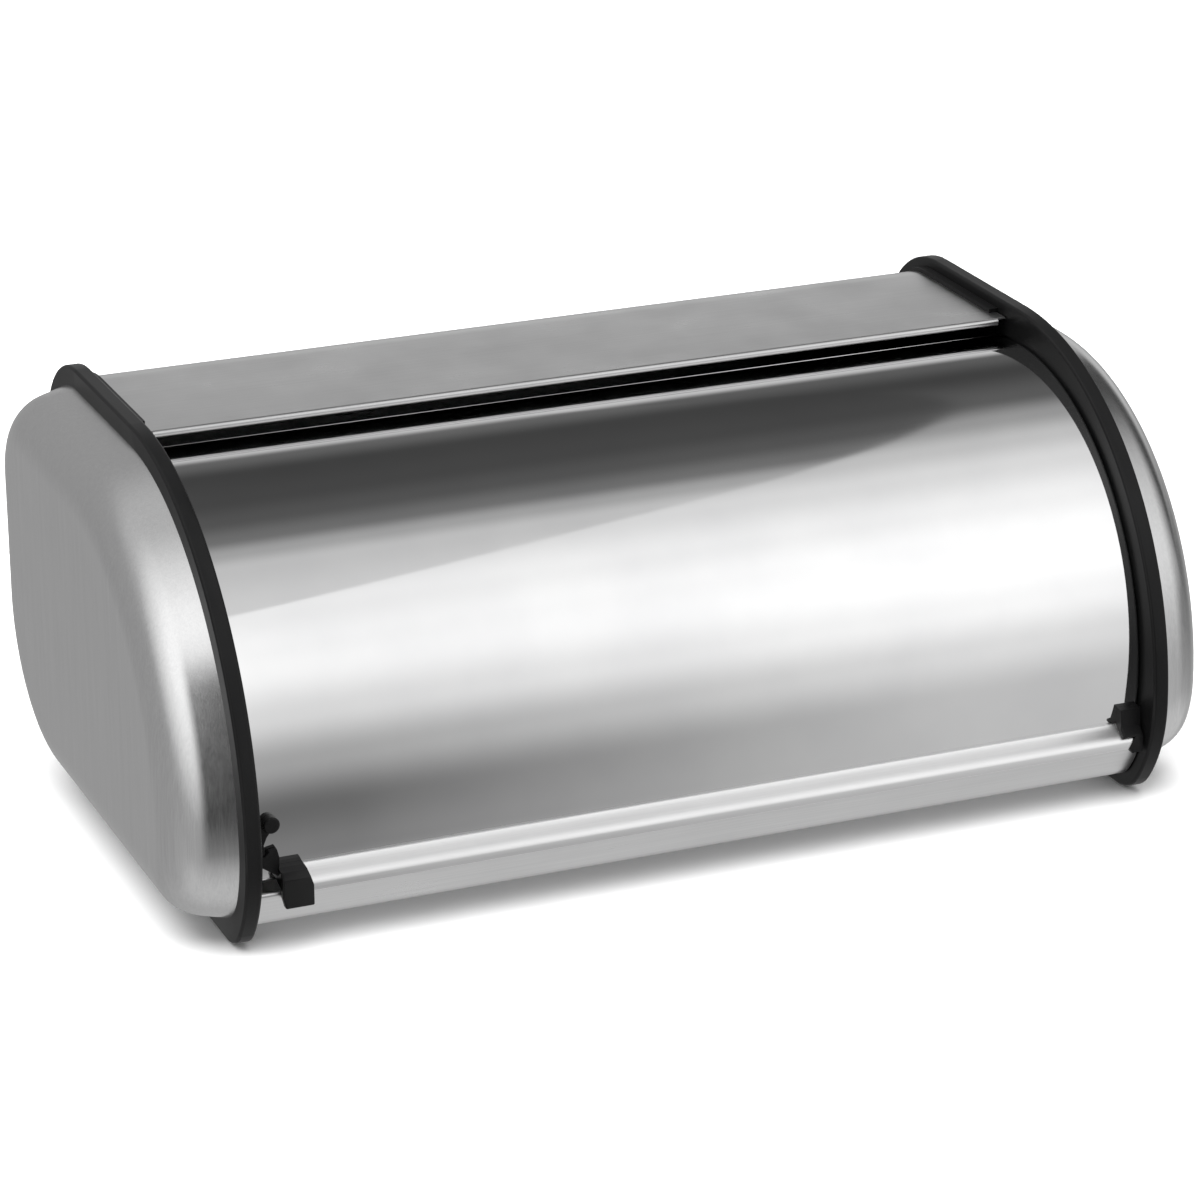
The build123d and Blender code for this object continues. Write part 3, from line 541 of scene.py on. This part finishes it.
def lip(material):
    """Rail folded on the lid's lower edge: it flares forward and turns down over the upstand."""
    low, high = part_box("lip_rail")
    top_angle = lid_angle(high.z, LID_R)
    bottom = lid_angle(lid_low.z, LID_R)
    start = lid_point(LID_R + LIP_SHEET * LIP_PROUD, top_angle)
    nose = (low.y, low.z + LIP_NOSE)
    reach = math.dist(start, nose) / 3
    leave = (start[0] - LIP_LEAVE[0] * reach, start[1] - LIP_LEAVE[1] * reach)
    arrive = (nose[0] + LIP_ARRIVE[0] * reach, nose[1] + LIP_ARRIVE[1] * reach)
    curve = bezier(start, leave, arrive, nose)
    skin = curve + [(low.y, low.z + LIP_HANG)]
    edge_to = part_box("right_lid_block")[0].x + LIP_INTO_BLOCK
    flange_r = LID_R + LIP_SHEET
    flange = [lid_point(flange_r, bottom), lid_point(flange_r, top_angle - LIP_FLANGE_GAP)]
    shell = Shell()
    shell.strip(skin[::-1], LIP_SHEET, low.x, edge_to)
    shell.strip(curve[::-1], LIP_SHEET, edge_to, high.x)
    shell.strip(flange, LIP_SHEET, low.x, high.x)
    obj = shell.piece("lip_skin", material, "lid", "lip_rail")
    round_edges(obj, LIP_EDGE)


# ---------------------------------------------------------------- studio
def make_camera():
    a, e, r = math.radians(AZIMUTH), math.radians(ELEVATION), math.radians(ROLL)
    back = Vector((math.sin(a) * math.cos(e), -math.cos(a) * math.cos(e), math.sin(e)))
    right = Vector((0, 0, 1)).cross(back).normalized()
    up = back.cross(right)
    right_rolled = math.cos(r) * right + math.sin(r) * up
    up_rolled = -math.sin(r) * right + math.cos(r) * up
    data = bpy.data.cameras.new("camera")
    data.lens = LENS
    data.sensor_width = SENSOR
    data.clip_start = 0.05
    data.clip_end = 50
    camera = bpy.data.objects.new("camera", data)
    turn = Matrix((right_rolled, up_rolled, back)).transposed().to_4x4()
    camera.matrix_world = Matrix.Translation(TARGET + back * DISTANCE) @ turn
    bpy.context.scene.collection.objects.link(camera)
    bpy.context.scene.camera = camera


# Brightness of the studio round the object, by angle: 0 is level in front, 90 overhead, 180 level behind.
# TENT is bright in front and above, and dark over the back.  Past a slanting edge SHADE takes its place,
# which is less bright and falls dark sooner.  DIMMED is the share taken off TENT towards its left side.
TENT = (
    (-180, 0.40), (-130, 0.50), (-100, 0.74), (-70, 0.74), (-45, 0.60), (-20, 0.62), (0, 0.85), (18, 1.12),
    (34, 1.26), (48, 1.20), (62, 1.05), (80, 0.82), (92, 0.62), (104, 0.36), (116, 0.12), (136, 0.06),
    (150, 0.12), (156, 0.62), (170, 0.74), (180, 0.62),
)
SHADE = (
    (-180, 0.42), (-130, 0.50), (-100, 0.66), (-45, 0.56), (0, 0.6), (66, 0.72), (84, 0.62), (91, 0.42),
    (98, 0.18), (108, 0.10), (120, 0.07), (138, 0.06), (151, 0.14), (157, 0.60), (170, 0.70), (180, 0.60),
)
DIMMED = ((-62, 0.0), (-40, 0.62), (-20, 0.74), (0, 0.5), (20, 0.28), (42, 0.1), (75, 0.0))

# LEFT is the softer grey on the left, which evens out to LEFT_END at the far end.  A bright card stands
# before it: CARD goes by how closely a direction points at CARD_TOWARDS, from 0 for straight away to 1.
LEFT = (
    (-180, 0.39), (-150, 0.42), (-110, 0.52), (-60, 0.70), (-30, 0.48), (0, 0.46), (60, 0.52), (115, 0.64),
    (142, 0.42), (180, 0.40),
)
LEFT_END = 0.42
CARD_TOWARDS = (-0.42, -0.60, 0.68)
CARD = ((0.5, 0.0), (0.70, 0.10), (0.78, 0.46), (0.85, 0.80), (0.92, 1.12), (0.98, 1.45), (1.0, 1.5))

# Steps from 0 to 1 as (start, slope), over one part of a direction; a negative slope makes it fall
EDGE_NORMAL = (0.902, -0.188, -0.39)
EDGE_STEP = (-0.002, 260.0)                 # across the slanting edge, from SHADE to TENT
DIM_STEP = (0.43, -7.7)
LEFT_STEP = (0.2, -10.0)                    # from the tents to the left
LEFT_END_STEP = (-1.0, 2.5)
STAND_STEPS = ((-0.5, 5.0), (-0.6, -6.0), (-0.6, 2.5))      # dark stand in front, in x, y and z
STAND_DARKENS = 0.93
RIGHT_STEP = (0.82, 6.0)                    # the far right is darker
RIGHT_DARKENS = 0.6


def studio_world():
    world = bpy.data.worlds.new("studio")
    bpy.context.scene.world = world
    world.use_nodes = True
    tree = world.node_tree
    nodes, link = tree.nodes, tree.links.new

    def fill(socket, value):
        """Sets a socket to a number, or links an output to it."""
        if isinstance(value, (int, float)):
            socket.default_value = value
        else:
            link(value, socket)

    def math_node(operation, *values, clamp=False):
        made = nodes.new("ShaderNodeMath")
        made.operation = operation
        made.use_clamp = clamp
        for socket, value in zip(made.inputs, values):
            fill(socket, value)
        return made.outputs[0]

    def ramp(value, stops):
        made = nodes.new("ShaderNodeValToRGB")
        made.color_ramp.interpolation = "EASE"
        while len(made.color_ramp.elements) < len(stops):
            made.color_ramp.elements.new(0.5)
        for element, (place, bright) in zip(made.color_ramp.elements, stops):
            element.position = place
            element.color = (*grey(bright), 1)
        link(value, made.inputs["Fac"])
        return made.outputs["Color"]

    def round_ramp(stops):
        """Brightness by the direction's angle, from stops in degrees."""
        return ramp(turn, [((angle + 180) / 360, bright) for angle, bright in stops])

    def step(value, start, slope):
        """Rises from 0 to 1 where the value passes start; a negative slope makes it fall."""
        return math_node("MULTIPLY", math_node("SUBTRACT", value, start), slope, clamp=True)

    def towards(aim):
        made = nodes.new("ShaderNodeVectorMath")
        made.operation = "DOT_PRODUCT"
        link(direction, made.inputs[0])
        made.inputs[1].default_value = aim
        return made.outputs["Value"]

    def mixed(share, a, b):
        made = nodes.new("ShaderNodeMix")
        for socket, value in zip(("Factor", "A", "B"), (share, a, b)):
            fill(made.inputs[socket], value)
        return made.outputs["Result"]

    def darkened(value, share, most=1.0):
        """The value less a share of it, where a share of 1 takes off the most."""
        return math_node("MULTIPLY", value, math_node("MULTIPLY_ADD", share, -most, 1.0))

    direction = nodes.new("ShaderNodeTexCoord").outputs["Generated"]
    split = nodes.new("ShaderNodeSeparateXYZ")
    link(direction, split.inputs[0])
    x, y, z = split.outputs
    angle = math_node("ARCTAN2", z, math_node("MULTIPLY", y, -1.0))
    turn = math_node("ADD", math_node("DIVIDE", angle, 2 * math.pi), 0.5)

    dim = math_node("MULTIPLY", round_ramp(DIMMED), step(x, *DIM_STEP))
    tent = darkened(round_ramp(TENT), dim)
    front = mixed(step(towards(EDGE_NORMAL), *EDGE_STEP), round_ramp(SHADE), tent)

    soft = mixed(step(x, *LEFT_END_STEP), LEFT_END, round_ramp(LEFT))
    card = ramp(math_node("MULTIPLY_ADD", towards(CARD_TOWARDS), 0.5, 0.5), CARD)
    stand_x, stand_y, stand_z = (step(part, *rise) for part, rise in zip((x, y, z), STAND_STEPS))
    stand = math_node("MULTIPLY", math_node("MULTIPLY", stand_x, stand_y), stand_z)
    left = darkened(math_node("MAXIMUM", soft, card), stand, STAND_DARKENS)

    room = darkened(mixed(step(x, *LEFT_STEP), front, left), step(x, *RIGHT_STEP), RIGHT_DARKENS)
    path = nodes.new("ShaderNodeLightPath")
    seen = math_node("MAXIMUM", room, path.outputs["Is Camera Ray"])
    link(seen, nodes["Background"].inputs["Color"])


def overhead_light():
    """Large soft light for the floor and the plastic; mirror surfaces don't show it."""
    data = bpy.data.lights.new("overhead", "AREA")
    data.shape = "DISK"
    data.size = 4.0
    data.energy = 170
    light = bpy.data.objects.new("overhead", data)
    light.location = (-0.3, -0.5, 2.6)
    light.rotation_euler = (math.radians(-11), math.radians(-6), 0)
    light.visible_glossy = False
    light.visible_camera = False
    bpy.context.scene.collection.objects.link(light)


def floor(reach=5.0, gap=0.5 * MM):
    """Pale floor, a little below the box's feet."""
    corners = [(-reach, -reach, 0), (reach, -reach, 0), (reach, reach, 0), (-reach, reach, 0)]
    mesh = bpy.data.meshes.new("floor")
    mesh.from_pydata(corners, [], [(0, 1, 2, 3)])
    obj = bpy.data.objects.new("floor", mesh)
    obj.location.z = -gap
    obj.visible_glossy = False
    bpy.context.scene.collection.objects.link(obj)
    f = Finish("floor")
    f.fixed(Roughness=0.9)
    f.colours(f.noise(f.scaled(), 40.0), (0.3, grey(0.93)), (0.7, grey(0.95)))
    mesh.materials.append(f.material)


# ---------------------------------------------------------------- scene
make_camera()
studio_world()
overhead_light()
floor()
bpy.context.scene.view_settings.view_transform = "Standard"

finishes = {
    "satin_steel": satin_steel("satin_steel", 0),
    "polished_steel": polished_steel(),
    "black_plastic": black_plastic(),
    "rivet_steel": rivet_steel(),
    "rubber": rubber(),
}
for subpart in frame["record"]["subparts"]:
    node = frame["nodes"][subpart["node"]]
    node.data.materials.clear()
    node.data.materials.append(finishes[subpart["material_slot"]])

cap_steel = satin_steel("cap_steel", 2, roughness=(0.18, 0.26), relief=0.05)
lip_steel = satin_steel("lip_steel", 0, roughness=(0.34, 0.42), tone=(0.86, 0.92), relief=0.05)
roof_and_back(finishes["satin_steel"])
tray(finishes["satin_steel"])
for side in ("left", "right"):
    end_cap(side, cap_steel)
lid(finishes["polished_steel"])
lip(lip_steel)
